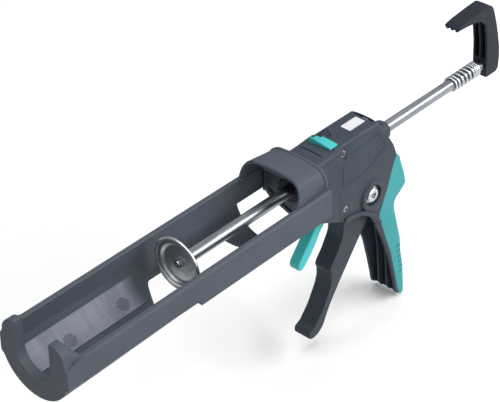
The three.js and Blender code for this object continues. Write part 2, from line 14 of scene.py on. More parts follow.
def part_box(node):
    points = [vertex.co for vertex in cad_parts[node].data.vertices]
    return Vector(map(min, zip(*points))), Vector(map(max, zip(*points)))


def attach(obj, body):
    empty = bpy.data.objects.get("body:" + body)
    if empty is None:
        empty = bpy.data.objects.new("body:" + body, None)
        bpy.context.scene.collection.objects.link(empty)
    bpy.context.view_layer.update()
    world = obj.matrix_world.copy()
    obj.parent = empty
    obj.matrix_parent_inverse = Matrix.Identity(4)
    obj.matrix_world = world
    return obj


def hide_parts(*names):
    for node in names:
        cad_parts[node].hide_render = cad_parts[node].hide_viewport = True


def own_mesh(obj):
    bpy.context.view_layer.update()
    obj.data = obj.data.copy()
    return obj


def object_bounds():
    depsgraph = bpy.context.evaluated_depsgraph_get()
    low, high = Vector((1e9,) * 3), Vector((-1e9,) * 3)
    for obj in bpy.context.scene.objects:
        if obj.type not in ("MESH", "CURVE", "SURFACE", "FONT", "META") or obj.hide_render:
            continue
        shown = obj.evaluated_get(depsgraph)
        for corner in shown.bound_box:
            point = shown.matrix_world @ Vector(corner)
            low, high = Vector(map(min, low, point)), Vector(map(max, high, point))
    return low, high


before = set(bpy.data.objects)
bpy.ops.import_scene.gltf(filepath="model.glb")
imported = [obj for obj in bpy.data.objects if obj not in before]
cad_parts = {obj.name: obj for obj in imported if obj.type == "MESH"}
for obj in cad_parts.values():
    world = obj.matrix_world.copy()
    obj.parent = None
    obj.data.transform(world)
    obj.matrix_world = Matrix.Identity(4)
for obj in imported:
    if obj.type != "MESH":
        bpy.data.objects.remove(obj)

CAD_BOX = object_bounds()
MM = 0.001

# ------------------------ the frame's own places
rod_low, rod_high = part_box("push_rod")
ORIGIN = Vector((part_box("cradle")[0].x, 0.0, (rod_low.z + rod_high.z) / 2))


def extent(node):
    """Lowest and highest corner of a CAD node, in millimetres in the design's own frame."""
    low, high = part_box(node)
    return (low - ORIGIN) / MM, (high - ORIGIN) / MM


# ------------------------ driving sizes, millimetres
HALF = 32.6                 # outside of the cradle's side walls
INNER = 27.2                # inside of the side walls
BORE = 26.6                 # radius of the round floor
ROUND_DEPTH = 9.0           # how far under the rod axis the side walls turn into the round floor
RIM = 10.0                  # top of the side walls
FLOOR_END = 126.0           # where the thick round bottom stops
LEDGE = 12.5                # depth of the ledge between the side walls and the round bottom
CHANNEL = 9.0               # half width of the channel along the floor
FRONT_WALL = 7.7            # thickness of the front wall
FRONT_RADIUS = 32.0         # underside of the front wall
SLOT = 16.3                 # half width of the slot for the nozzle
POST_HALF = 29.8            # half width across both posts
POST_TOP = 21.5
POST_CORNER = 11.0
GUSSET_BACK = 16.5          # where the webs behind the posts end
HOOD_FRONT = 232.0
HOOD_WALL = 259.0           # front of the hood's back wall
HOOD_BACK = 267.0
BODY_START = HOOD_BACK - 0.8
BODY_TOP = 23.5
AXLE = (336.5, -38.0)       # the trigger's axle, in side view
PIN = (292.0, -32.0)        # the release lever's pin
ROLLER = (343.0, -16.6)     # the roller in the trigger's fork
UPPER_SCREW = (301.0, 17.0)
LOWER_SCREW = (305.0, -35.0)
COVER_SKIN = 1.4            # thickness of the cover's cheeks
COVER_GAP = 0.25            # room between the cover and the body
SEAM = 0.12                 # the gap between the two shells


# ------------------------ outline helpers
def fillet(points, radius=0.0, steps=5):
    """A closed outline with rounded corners; a point is (a, b) or (a, b, its own radius)."""
    line = []
    count = len(points)
    for i, point in enumerate(points):
        r = point[2] if len(point) > 2 else radius
        here = Vector(point[:2])
        u = Vector(points[i - 1][:2]) - here
        v = Vector(points[(i + 1) % count][:2]) - here
        room = 0.48 * min(u.length, v.length)
        u.normalize()
        v.normalize()
        corner = u.angle(v)
        if r <= 0 or corner > math.radians(176):
            line.append(here)
            continue
        reach = min(r / math.tan(corner / 2), room)
        r = reach * math.tan(corner / 2)
        centre = here + (u + v).normalized() * (r / math.sin(corner / 2))
        start = here + u * reach - centre
        end = here + v * reach - centre
        turn = math.atan2(start.x * end.y - start.y * end.x, start.dot(end))
        for k in range(steps + 1):
            angle = turn * k / steps
            c, s = math.cos(angle), math.sin(angle)
            line.append(centre + Vector((start.x * c - start.y * s, start.x * s + start.y * c)))
    return [tuple(p) for p in line]


def arc(a, b, radius, start, end, steps):
    """Points on an arc round (a, b), angles in degrees."""
    line = []
    for k in range(steps + 1):
        angle = math.radians(start + (end - start) * k / steps)
        line.append((a + radius * math.cos(angle), b + radius * math.sin(angle)))
    return line


def curve_through(points, steps=4):
    """An open smooth line through the points."""
    line = []
    last = len(points) - 1
    for i in range(last):
        p0, p1, p2, p3 = (Vector(points[min(max(j, 0), last)]) for j in (i - 1, i, i + 1, i + 2))
        for k in range(steps):
            t = k / steps
            q = 2 * p1 + (p2 - p0) * t + (2 * p0 - 5 * p1 + 4 * p2 - p3) * t ** 2
            q += (3 * p1 - p0 - 3 * p2 + p3) * t ** 3
            line.append(tuple(q / 2))
    line.append(tuple(points[-1]))
    return line


# ------------------------ mesh helpers
def mesh_object(name, verts, faces):
    """A new object in the scene, with its faces turned outwards."""
    mesh = bpy.data.meshes.new(name)
    mesh.from_pydata([tuple(v) for v in verts], [], faces)
    obj = bpy.data.objects.new(name, mesh)
    bpy.context.scene.collection.objects.link(obj)
    edit = bmesh.new()
    edit.from_mesh(mesh)
    bmesh.ops.recalc_face_normals(edit, faces=edit.faces)
    edit.to_mesh(mesh)
    edit.free()
    return obj


def plate(name, outline, low, high, axis="y"):
    """A closed outline made solid from low to high; the outline is (x, z), (y, z) or (x, y)."""
    put = {"y": lambda p, d: (p[0], d, p[1]), "x": lambda p, d: (d, p[0], p[1]),
           "z": lambda p, d: (p[0], p[1], d)}[axis]
    count = len(outline)
    verts = [put(p, low) for p in outline] + [put(p, high) for p in outline]
    faces = [tuple(range(count)), tuple(range(count, 2 * count))]
    faces += [(i, (i + 1) % count, count + (i + 1) % count, count + i) for i in range(count)]
    return mesh_object(name, verts, faces)


def box(name, x0, x1, y0, y1, z0, z1):
    """A block between two places on each axis."""
    return plate(name, [(x0, z0), (x1, z0), (x1, z1), (x0, z1)], y0, y1)


def loft(name, sections):
    """Joins closed sections with the same number of points into one solid."""
    count = len(sections[0])
    verts = [v for section in sections for v in section]
    faces = []
    for s in range(len(sections) - 1):
        for i in range(count):
            j = (i + 1) % count
            faces.append((s * count + i, s * count + j, (s + 1) * count + j, (s + 1) * count + i))
    faces.append(tuple(range(count)))
    faces.append(tuple(range((len(sections) - 1) * count, len(sections) * count)))
    return mesh_object(name, verts, faces)


def turned(name, profile, segments, axis="x", centre=(0.0, 0.0, 0.0)):
    """A turned piece: points (distance along the axis, radius) of a profile that closes itself."""
    verts = []
    for k in range(segments):
        angle = 2 * math.pi * k / segments
        c, s = math.cos(angle), math.sin(angle)
        for d, r in profile:
            point = (d, r * c, r * s) if axis == "x" else (r * c, d, r * s)
            verts.append(Vector(point) + Vector(centre))
    count = len(profile)
    faces = []
    for k in range(segments):
        n = (k + 1) % segments
        for i in range(count):
            j = (i + 1) % count
            faces.append((k * count + i, k * count + j, n * count + j, n * count + i))
    obj = mesh_object(name, verts, faces)
    edit = bmesh.new()
    edit.from_mesh(obj.data)
    bmesh.ops.remove_doubles(edit, verts=edit.verts, dist=1e-4)
    bmesh.ops.recalc_face_normals(edit, faces=edit.faces)
    edit.to_mesh(obj.data)
    edit.free()
    return obj


def bar(name, radius, low, high, segments=32, axis="x", centre=(0.0, 0.0, 0.0)):
    """A plain round bar along axis, from low to high."""
    return turned(name, [(low, 0.0), (low, radius), (high, radius), (high, 0.0)], segments, axis, centre)


def cross_bar(name, radius, low, high, segments, place):
    """A plain round bar along Y, with its axis at place in side view."""
    return bar(name, radius, low, high, segments, "y", (place[0], 0, place[1]))


def freeze(obj):
    """Applies the object's modifiers."""
    depsgraph = bpy.context.evaluated_depsgraph_get()
    mesh = bpy.data.meshes.new_from_object(obj.evaluated_get(depsgraph))
    obj.modifiers.clear()
    old = obj.data
    obj.data = mesh
    bpy.data.meshes.remove(old)
    return obj


def combine(obj, others, how):
    """Applies a boolean with each of the others in turn, and uses them up."""
    for other in others:
        step = obj.modifiers.new("join", "BOOLEAN")
        step.operation = how
        step.solver = "EXACT"
        step.object = other
        freeze(obj)
        bpy.data.objects.remove(other)
    return obj


def cut(obj, *tools):
    return combine(obj, tools, "DIFFERENCE")


def join(obj, *others):
    return combine(obj, others, "UNION")


def common(obj, *others):
    return combine(obj, others, "INTERSECT")


def tidy(obj, merge=0.01):
    """Removes the slivers and double points that a boolean leaves."""
    edit = bmesh.new()
    edit.from_mesh(obj.data)
    bmesh.ops.remove_doubles(edit, verts=edit.verts, dist=merge)
    bmesh.ops.dissolve_degenerate(edit, edges=edit.edges, dist=merge)
    bmesh.ops.dissolve_limit(edit, angle_limit=math.radians(0.6), verts=edit.verts, edges=edit.edges)
    edit.to_mesh(obj.data)
    edit.free()


def soften(obj, width, segments=2, angle=32):
    """Rounds every edge sharper than angle."""
    tidy(obj)
    step = obj.modifiers.new("edges", "BEVEL")
    step.width = width
    step.segments = segments
    step.limit_method = "ANGLE"
    step.angle_limit = math.radians(angle)
    step.use_clamp_overlap = True
    step.miter_outer = "MITER_ARC"
    freeze(obj)


def round_caps(obj, width, segments=4, axis=1):
    """Rounds only the edges round the two flat ends of a plate."""
    edit = bmesh.new()
    edit.from_mesh(obj.data)
    edit.normal_update()
    edges = [e for e in edit.edges if len(e.link_faces) == 2
             and sum(abs(f.normal[axis]) > 0.999 for f in e.link_faces) == 1]
    bmesh.ops.bevel(edit, geom=edges, offset=width, segments=segments, profile=0.5,
                    affect="EDGES", clamp_overlap=True)
    edit.to_mesh(obj.data)
    edit.free()
    return obj


def shade(obj, angle):
    """Smooth shading with sharp lines where faces meet at more than angle."""
    obj.data.shade_smooth()
    obj.data.set_sharp_from_angle(angle=math.radians(angle))
    step = obj.modifiers.new("normals", "WEIGHTED_NORMAL")
    step.keep_sharp = True
    step.weight = 60
    freeze(obj)


def settle(obj, body, slot, material, *nodes, angle=34):
    """Moves a finished piece into the row frame, gives it its finish and hangs it on its body."""
    shade(obj, angle)
    obj.data.transform(Matrix.Translation(ORIGIN) @ Matrix.Scale(MM, 4))
    obj.data.materials.clear()
    obj.data.materials.append(FINISHES[material].material)
    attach(obj, body)
    if nodes:
        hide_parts(*nodes)


# ------------------------ materials
class Finish:
    """A small builder of node materials round one Principled shader."""

    def __init__(self, name, color, roughness, metallic=0.0, specular=0.5):
        self.material = bpy.data.materials.new(name)
        self.material.use_nodes = True
        self.nodes = self.material.node_tree.nodes
        self.links = self.material.node_tree.links
        self.shader = self.nodes["Principled BSDF"]
        self.set(self.shader, {"Base Color": (*color, 1), "Roughness": roughness, "Metallic": metallic,
                               "Specular IOR Level": specular})
        self.place = self.nodes.new("ShaderNodeTexCoord").outputs["Object"]

    def set(self, node, settings):
        """Gives each named input its value, or the socket that feeds it."""
        for name, value in settings.items():
            if isinstance(value, bpy.types.NodeSocket):
                self.links.new(value, node.inputs[name])
            else:
                node.inputs[name].default_value = value

    def add(self, kind, settings):
        node = self.nodes.new("ShaderNode" + kind)
        self.set(node, settings)
        return node

    def stretched(self, scale):
        return self.add("Mapping", {"Scale": scale, "Vector": self.place}).outputs["Vector"]

    def noise(self, scale, detail=2.0, roughness=0.5, vector=None):
        return self.add("TexNoise", {"Scale": scale, "Detail": detail, "Roughness": roughness,
                                     "Vector": vector or self.place}).outputs["Fac"]

    def remap(self, value, low, high, out_low, out_high):
        return self.add("MapRange", {"From Min": low, "From Max": high, "To Min": out_low, "To Max": out_high,
                                     "Value": value}).outputs["Result"]

    def math(self, operation, a, b=0.0):
        node = self.add("Math", {0: a, 1: b})
        node.operation = operation
        return node.outputs["Value"]

    def mix(self, factor, a, b):
        node = self.nodes.new("ShaderNodeMix")
        node.data_type = "RGBA"
        a, b = ((*color, 1) if isinstance(color, tuple) else color for color in (a, b))
        self.set(node, {"Factor": factor, "A": a, "B": b})
        return node.outputs["Result"]

    def axis(self, letter):
        return self.add("SeparateXYZ", {"Vector": self.place}).outputs[letter]

    def color(self, socket):
        self.set(self.shader, {"Base Color": socket})

    def roughness(self, socket):
        self.set(self.shader, {"Roughness": socket})

    def bump(self, height, strength, distance):
        """Adds one more layer of relief over the ones before it."""
        node = self.add("Bump", {"Strength": strength, "Distance": distance, "Height": height})
        before = self.shader.inputs["Normal"].links
        if before:
            self.set(node, {"Normal": before[0].from_socket})
        self.set(self.shader, {"Normal": node.outputs["Normal"]})


def moulded(name, dark, light, roughness, grain=0.25):
    """Injection-moulded plastic: faint flow clouds and a fine spark-eroded grain."""
    finish = Finish(name, dark, roughness, specular=0.12)
    clouds = finish.remap(finish.noise(28, 3), 0.3, 0.7, 0.0, 1.0)
    finish.color(finish.mix(clouds, dark, light))
    finish.roughness(finish.remap(finish.noise(160, 3), 0.3, 0.7, roughness - 0.05, roughness + 0.07))
    finish.bump(finish.noise(2600, 2), grain, 0.00006)
    finish.bump(finish.noise(90, 2), 0.12, 0.0002)
    return finish


def metal(name, dark, light, roughness, streak=(1, 1, 1), depth=0.05):
    """Plated or bare steel with tone changes stretched along the way it was worked."""
    finish = Finish(name, light, roughness, 1.0)
    along = finish.stretched(streak)
    tone = finish.remap(finish.noise(420, 4, 0.6, along), 0.3, 0.7, 0.0, 1.0)
    finish.color(finish.mix(tone, dark, light))
    wear = finish.noise(900, 3, 0.6, along)
    finish.roughness(finish.remap(wear, 0.3, 0.7, roughness - 0.07, roughness + 0.1))
    finish.bump(finish.noise(1500, 3, 0.6, along), depth, 0.00005)
    return finish


def cradle_finish():
    """Grey plastic with a lighter zone painted on the floor's side facets for the light and sheen on them;
    the middle channel keeps the plain grey.
    """
    finish = moulded("cradle_grey", (0.046, 0.055, 0.070), (0.054, 0.064, 0.080), 0.5)
    x, y, z = (finish.axis(a) for a in "XYZ")
    start = ORIGIN.x + (FRONT_WALL + 0.1) * MM
    off_middle = finish.math("ABSOLUTE", y)
    below = finish.math("SUBTRACT", z, ORIGIN.z)
    square = finish.math("ADD", finish.math("MULTIPLY", y, y), finish.math("POWER", below, 2.0))
    # Mask of the painted light and sheen: the floor's side facets behind the front wall, fading out before x
    # = 116, not the channel or the sunk marks.
    limits = (finish.math("LESS_THAN", off_middle, 24.7 * MM),
              finish.remap(off_middle, (CHANNEL - 0.2) * MM, (CHANNEL + 0.3) * MM, 0.0, 1.0),
              finish.math("LESS_THAN", z, ORIGIN.z - 9.8 * MM),
              finish.math("GREATER_THAN", x, start),
              finish.remap(x, start + 94 * MM, ORIGIN.x + 116 * MM, 1.0, 0.0),
              finish.math("LESS_THAN", finish.math("SQRT", square), (BORE + 0.2) * MM))
    sheen_zone = limits[0]
    for limit in limits[1:]:
        sheen_zone = finish.math("MULTIPLY", sheen_zone, limit)
    across = finish.noise(75, 3, 0.6, finish.stretched((1.0, 0.12, 0.12)))
    lines = finish.noise(900, 3, 0.7, finish.stretched((0.06, 1.0, 1.0)))
    tone = finish.math("ADD", finish.math("MULTIPLY", across, 0.75), finish.math("MULTIPLY", lines, 0.35))
    strength = finish.remap(tone, 0.35, 0.78, 0.0, 1.0)
    # Painted sheen: a lighter, streaked colour that stands in for the light on that floor zone.
    painted_sheen = finish.mix(strength, (0.115, 0.127, 0.155), (0.205, 0.220, 0.260))
    base = finish.shader.inputs["Base Color"].links[0].from_socket
    finish.color(finish.mix(sheen_zone, base, painted_sheen))
    finish.bump(finish.math("MULTIPLY", lines, sheen_zone), 0.25, 0.0001)
    return finish


ROD_STREAK = (0.04, 1, 1)   # tone changes drawn out along the rod

FINISHES = {
    "grey": moulded("grey_plastic", (0.027, 0.034, 0.046), (0.033, 0.041, 0.054), 0.47),
    "cradle": cradle_finish(),
    "dark": moulded("dark_plastic", (0.011, 0.013, 0.020), (0.015, 0.018, 0.026), 0.5),
    "teal": moulded("teal_plastic", (0.040, 0.33, 0.34), (0.048, 0.36, 0.37), 0.42, 0.15),
    "rubber": moulded("teal_soft", (0.033, 0.215, 0.225), (0.040, 0.240, 0.250), 0.55, 0.35),
    "zinc": metal("zinc_plate", (0.38, 0.40, 0.43), (0.58, 0.60, 0.63), 0.3),
    "rod": metal("rod_zinc", (0.15, 0.165, 0.19), (0.39, 0.41, 0.44), 0.36, ROD_STREAK, 0.01),
    "steel": metal("plain_steel", (0.20, 0.205, 0.21), (0.32, 0.325, 0.33), 0.42),
    "disc": metal("disc_zinc", (0.40, 0.42, 0.43), (0.60, 0.62, 0.63), 0.36),
    "spring": metal("spring_wire", (0.40, 0.42, 0.45), (0.60, 0.62, 0.65), 0.38),
    "label": moulded("label_film", (0.45, 0.455, 0.47), (0.50, 0.505, 0.52), 0.4, 0.05),
}


# ------------------------ cradle
def trough_section(x, radius, foot, corner, rim=RIM, slope=1.0):
    """Closed cross-section of the trough at x: the outside from rim to rim, then the inside."""
    reach = math.degrees(math.asin(-corner[1] / radius))
    right = [(INNER + 0.6, rim), (HALF - 1.9 * slope, rim), (HALF - 0.35 * slope, rim - 1.3 * slope),
             (HALF, rim - 2.4 * slope), (HALF, foot), corner] + arc(0, 0, radius, -reach, -90, 14)[1:]
    left = [(-y, z) for y, z in reversed(right[:-1])]
    bend = math.degrees(math.asin(ROUND_DEPTH / BORE))
    floor = arc(0, 0, BORE, -180 + bend, -bend, 24)
    inside = [(-INNER, rim - 0.6), (-INNER, -3)] + floor + [(INNER, -3), (INNER, rim - 0.6)]
    return [(x, y, z) for y, z in right + left + inside]


def make_trough():
    """Round-bottomed front half, and behind it side walls with a thinner floor between them."""
    sections = []
    for x, radius, rim, slope in (
            (1.2, 31.96, 6.2, 0.35), (16.0, 31.8, RIM, 0.45), (20.0, 31.8, RIM, 1.0), (40.0, 31.6, RIM, 1.0),
            (85.0, 30.9, RIM, 1.0), (FLOOR_END, 30.3, RIM, 1.0)):
        corner = (math.sqrt(radius ** 2 - LEDGE ** 2), -LEDGE)
        sections.append(trough_section(x, radius, -ROUND_DEPTH, corner, rim, slope))
    thin, depth = 29.3, 13.4
    corner = (math.sqrt(thin ** 2 - depth ** 2), -depth)
    for x in (FLOOR_END + 0.8, 190.0, HOOD_BACK):
        sections.append(trough_section(x, thin, -13.5, corner))
    return loft("cradle_body", sections)


def make_front_plate():
    """Front wall with the two posts; the slot for the nozzle is cut later."""
    side = math.sqrt(FRONT_RADIUS ** 2 - LEDGE ** 2)
    low = math.degrees(math.asin(-LEDGE / FRONT_RADIUS))
    right = [(HALF, -ROUND_DEPTH), (HALF, 5.6, 2.5), (POST_HALF + 0.8, 6.6, 1.0)]
    right += arc(POST_HALF - POST_CORNER, POST_TOP - POST_CORNER, POST_CORNER, 0, 90, 12)
    left = [(-p[0],) + p[1:] for p in reversed(right)]
    upper = fillet([(side, -LEDGE)] + right + left + [(-side, -LEDGE)])
    below = arc(0, 0, FRONT_RADIUS, low, -180 - low, 44)
    return round_front(plate("front_plate", upper + below[-2:0:-1], 0.0, FRONT_WALL, "x"))


def round_front(part):
    """Rounds the edges of the face at x = 0, and no others."""
    weights = part.data.attributes.new("bevel_weight_edge", "FLOAT", "EDGE")
    for edge in part.data.edges:
        a, b = (part.data.vertices[i].co for i in edge.vertices)
        on_face = abs(a.x) < 0.01 and abs(b.x) < 0.01
        weights.data[edge.index].value = 1.0 if on_face else 0.0
    step = part.modifiers.new("round", "BEVEL")
    step.width = 1.3
    step.segments = 4
    step.limit_method = "WEIGHT"
    return freeze(part)


def make_gussets():
    """Curved webs that carry each post back and down to its side wall."""
    sections = []
    for k in range(9):
        t = k / 8
        x = FRONT_WALL - 1 + (GUSSET_BACK + 0.8 - FRONT_WALL) * t
        drop = t ** 1.15
        half = POST_HALF + 0.6 * drop
        top = POST_TOP + (RIM - 0.6 - POST_TOP) * drop
        corner = POST_CORNER - 8.5 * drop
        right = [(half, -4.0)] + arc(half - corner, top - corner, corner, 0, 90, 12)
        sections.append([(x, y, z) for y, z in right + [(-y, z) for y, z in reversed(right)]])
    return cut(loft("web", sections), bar("space", BORE + 0.2, 0, 40, 96))


def floor_tools():
    """Cutters for the openings in the floor, the centre channel, the nozzle slot and the grooves."""
    half_front = [(209.6, 4, 5), (202.4, 17.6, 3), (197, 20.8, 3), (134, 20.8, 4), (128, 20.8, 3),
                  (124.4, 17.6, 4), (116.8, 4, 6)]
    half_rear = [(226.8, 28.4, 1.5), (258.8, 28.4, 0.5), (261.5, 21, 5), (264.4, 14, 8)]
    front, rear = (half + [(x, -y, r) for x, y, r in reversed(half)] for half in (half_front, half_rear))
    channel = [(FRONT_WALL, -CHANNEL), (116.2, -CHANNEL), (116.2, CHANNEL), (FRONT_WALL, CHANNEL)]
    slot = [(SLOT, 40), (-SLOT, 40)] + arc(0, 0, SLOT, -180, 0, 28)
    tools = [plate("front_opening", fillet(front, 0, 6), -60, -11, "z"),
             plate("rear_opening", fillet(rear), -60, -8.2, "z"),
             common(plate("channel", channel, -60, -20, "z"), bar("reach", BORE + 0.45, 0, 130, 96)),
             plate("slot", slot, -5, FRONT_WALL + 0.4, "x")]
    tools += [box("wall_hollow", 130, 262, low, low + 2.6, -60, -3) for low in (-30.8, 28.2)]
    for k in range(8):
        x = 20.0 + 11 * k
        ring = turned("groove", [(x, 0.0), (x, 33.0), (x + 0.8, 33.0), (x + 0.8, 0.0)], 96)
        tools.append(keep_low(ring))
    return tools


def keep_low(groove):
    """Keeps only the shallow outer part of a groove cutter, under the round floor."""
    cut(groove, bar("core", 31.35, 0, 130, 96))
    return cut(groove, box("above", -10, 140, -60, 60, -13, 60))


def make_hood():
    """Crowned arch with a leaning front edge, a bead at the back and a back wall with ribs."""
    def arch(x, half, top, radius, foot, lean):
        side = arc(half - radius, top - radius, radius, 0, 90, 8)
        crown = [(y, top + 0.9 * (1 - (y / (half - radius)) ** 2)) for y in (8.0, 3.0)]
        right = [(half, foot), (half, foot + 5)] + side + crown
        line = right + [(-y, z) for y, z in reversed(right)]
        return [(x + lean * (z - RIM) / (top - RIM), y, z) for y, z in line]

    def ring(x, half, top, lean, skin):
        corner, foot = 12.5, 9.0
        inner_lean = lean * (top - skin - RIM) / (top - RIM)
        inner = arch(x, half - skin, top - skin, corner - skin, foot, inner_lean)
        return arch(x, half, top, corner, foot, lean) + inner[::-1]

    hood = loft("hood", [
        ring(HOOD_FRONT, 28.7, 27.6, 6.2, 1.5), ring(HOOD_FRONT + 1.2, 29.0, 27.9, 6.2, 2.2),
        ring(HOOD_BACK - 2.7, 27.6, 25.7, 0, 2.0), ring(HOOD_BACK - 2.0, 28.3, 26.3, 0, 2.4),
        ring(HOOD_BACK, 28.0, 26.0, 0, 2.4)])
    wall_back = HOOD_BACK - 0.1
    wall_line = [(y, z) for _, y, z in arch(0, 27.0, 25.2, 12, 2.0, 0)]
    wall = plate("hood_wall", wall_line, HOOD_WALL, wall_back, "x")
    low_wall = common(bar("low_wall", 23.8, HOOD_WALL, wall_back, 72),
                      box("lower_half", 250, 280, -30, 30, -30, 6))
    join(low_wall, box("side_walls", HOOD_WALL, wall_back, -28, 28, -7.8, 4))
    pieces = [wall, low_wall]
    for y in (-23.2, -9.4, 9.4, 23.2):
        foot = -7.5 if abs(y) > 20 else -13
        head = 24.6 - 0.08 * abs(y)
        pieces.append(box("rib", HOOD_WALL - 3.2, HOOD_WALL + 1, y - 0.9, y + 0.9, foot, head))
    pieces.append(box("lip", HOOD_FRONT + 6.0, HOOD_FRONT + 8.2, -9.6, 9.6, 24.6, 27.6))
    for y in (-27.9, 27.9):
        pieces.append(box("ledge", HOOD_FRONT - 0.6, HOOD_BACK, y - 2.2, y + 2.2, 8.6, RIM + 0.35))
    return hood, pieces


def make_mark(cradle, x, angle):
    """Round ribbed ejector mark sunk in the floor; angle is its place on the round, in degrees."""
    mark = bar("mark", 5.2, BORE - 1.0, BORE + 0.5, 32)
    for k in range(7):
        y = -4.2 + 1.4 * k
        cut(mark, box("rib", BORE - 2, BORE + 1, y - 0.44, y + 0.44, -6, 6))
    turn = Matrix.Rotation(math.radians(-angle), 4, "Y")
    mark.data.transform(Matrix.Rotation(math.radians(90), 4, "Z") @ turn)
    mark.data.transform(Matrix.Translation((x, 0, 0)))
    cut(cradle, mark)


def make_cradle():
    """Trough, front wall, webs and hood in one piece, with every opening cut."""
    cradle = join(make_trough(), make_front_plate(), make_gussets())
    hood, extras = make_hood()
    join(cradle, hood, *extras)
    cut(cradle, *floor_tools())
    cut(cradle, bar("rod_hole", 8.4, HOOD_WALL - 2, HOOD_BACK + 2, 40))
    cut(cradle, bar("bush_seat", 10.4, HOOD_WALL - 4, HOOD_WALL - 0.1, 40))
    soften(cradle, 0.55, 2, 30)
    for x, angle in ((46.5, -55.0), (98.0, -53.0)):
        make_mark(cradle, x, angle)
    settle(cradle, "frame", "grey_plastic", "cradle", "cradle")


make_cradle()


# ------------------------ body shells
def body_profile():
    """Side view of the grip body, with round stretches where a hand goes."""
    return fillet([
        (BODY_START, -28), (294.5, -42, 6), (304, -46.5, 4), (320.6, -50, 12), (331, -55.4, 12),
        (340.6, -63.4, 12), (348.8, -76, 20), (356.6, -91.4, 20), (365.8, -112, 30),
        (372.4, -133.4, 30), (377.6, -152, 10), (380.2, -162.4, 3), (386.2, -165.6, 2),
        (389.4, -160, 3), (386.6, -137.5, 20), (382.5, -120, 20), (380.5, -107, 20), (373.2, -84, 20),
        (369.4, -67, 6), (371, -59.5, 6), (380.8, -50, 4), (373, -28, 12), (366.5, -17.5, 6),
        (361, -3.2, 8), (354.6, 6.6, 5), (348.6, 16.4, 6), (345.6, BODY_TOP, 0.8),
        (BODY_START, BODY_TOP)])


def body_section(grow=0.0):
    """Front view of the rear part of the body: flat top, bevelled shoulders, slimmer handle."""
    right = [(13.5 + grow, -175), (13.5 + grow, -70), (14.2 + grow, -60), (15.9 + grow, -48),
             (16.6 + grow, -30), (16.8 + grow, -10), (16.2 + grow, 6), (14.9 + grow, 18.4),
             (14.0 + grow, 21.6), (12.2 + grow * 0.5, BODY_TOP + 0.01)]
    return right + [(-y, z) for y, z in reversed(right)]


def make_neck():
    """The flared front of the body, rounder at the top than the rest."""
    sections = []
    for x, half, shoulder in ((BODY_START, 19.0, 9), (271.0, 18.0, 8.4), (276.0, 17.0, 7.6),
                              (283.0, 16.5, 6.4), (291.0, 16.35, 5), (299.4, 16.3, 4)):
        right = [(15.2, -60), (16.5, -30), (16.74, -10), (16.4, 2.5), (half, 5.0)]
        right += arc(half - shoulder, 22.9 - shoulder, shoulder, 0, 90, 7)
        right += [(5.0, 23.3), (1.5, 23.42)]
        sections.append([(x, y, z) for y, z in right + [(-y, z) for y, z in reversed(right)]])
    return loft("neck", sections)


def make_side_panel(side):
    """The thin raised outline of the field on one flank."""
    outline = [(299.4, 12.4), (328.0, 13.8), (343.6, 15.6), (351.4, 0.6), (326.8, -11.6), (300.2, -11.8)]
    inner = [(300.2, 11.8), (328.0, 13.2), (343.2, 14.9), (350.5, 0.6), (326.6, -11.0), (300.9, -11.2)]
    low, high = (-20, -12) if side < 0 else (12, 20)
    ring = cut(plate("panel", outline, low, high), plate("field", inner, low - 1, high + 1))
    return common(ring, plate("flank", body_section(0.22), 290, 365, "x"))


def make_boss(side):
    """Round boss with a sloping flank over the trigger axle."""
    profile = [(12.0, 0.0), (12.0, 15.0), (15.6, 14.6), (18.2, 12.9), (18.5, 12.5), (18.5, 0.0)]
    return turned("boss", [(d * side, r) for d, r in profile], 56, "y", (AXLE[0], 0, AXLE[1]))


def make_lip(side):
    """Flared edge over the trigger's opening."""
    lower = [(302.5, -45.8), (312, -47.8), (321.5, -50.0), (331, -55.2), (339.8, -62.6), (346.8, -72.8)]
    upper = [(350.0, -70.6), (342.6, -59.4), (333.2, -51.6), (323.0, -46.4), (312.6, -44.0), (305.0, -42.4)]
    outline = curve_through(lower, 4) + curve_through(upper, 4)
    low, high = (-18.2, -12) if side < 0 else (12, 18.2)
    return round_caps(plate("lip", outline, low, high), 1.3, 4)


def body_hollows():
    """Cutters for the room inside the body and inside the handle."""
    upper = [(270.4, 20.6), (270.4, -33), (294, -45), (299.2, -47), (299.2, -41), (303.6, -43.4),
             (303.6, -60), (318, -60), (331, -66), (345, -90), (349, -72), (367.4, -71), (366.8, -59),
             (376.6, -49.4), (370, -29.5), (363.2, -18.2), (358, -2.4), (347.6, 15.8), (342, 20.6)]
    handle = [(345, -69), (366.8, -69), (370.4, -84.5), (377.8, -108), (379.8, -121), (383.8, -138),
              (386.2, -157), (385.6, -175), (355, -175), (340, -100)]
    return [plate("hollow", upper, -13.1, 13.1), plate("handle_hollow", handle, -10.9, 10.9)]


def body_ribs():
    """Two fins down the handle, the seats for the inner works and the posts for the fasteners."""
    fin = fillet([
        (363.5, -84), (370.6, -84), (378.2, -108), (380.2, -121), (384.2, -138), (389, -158),
        (388.2, -163, 1.5), (382.4, -164.2, 2.5), (378.4, -157, 3), (376.4, -138, 10), (374, -116, 10),
        (369.5, -96, 10)], 0, 4)
    pieces = [plate("fin", fin, y - 0.75, y + 0.75) for y in (-4.2, 4.2)]
    pieces.append(box("spring_seat", 301.6, 304.4, -13.6, 13.6, -13.5, 9))
    pieces.append(box("fulcrum", 284.6, 287, -13.6, 13.6, 14.5, 21))
    for screw in (UPPER_SCREW, LOWER_SCREW):
        pieces.append(cross_bar("post", 4.2, -13.6, 13.6, 20, screw))
    for low, high in ((-13.6, -8.3), (8.3, 13.6)):
        pieces.append(cross_bar("axle_post", 9, low, high, 32, AXLE))
    for low, high in ((-13.6, -4.9), (4.9, 13.6)):
        pieces.append(cross_bar("pin_post", 4.35, low, high, 27, PIN))
    return pieces


def stepped_hole(x, z, head, bore, nut, seat):
    """Cutter for a cross hole with a round seat for a head on the left and a nut on the right."""
    line = [(-30, 0.0), (-30, head), (-seat, head), (-seat, bore), (seat, bore), (seat, nut), (30, nut),
            (30, 0.0)]
    return turned("hole", line, 44, "y", (x, 0, z))


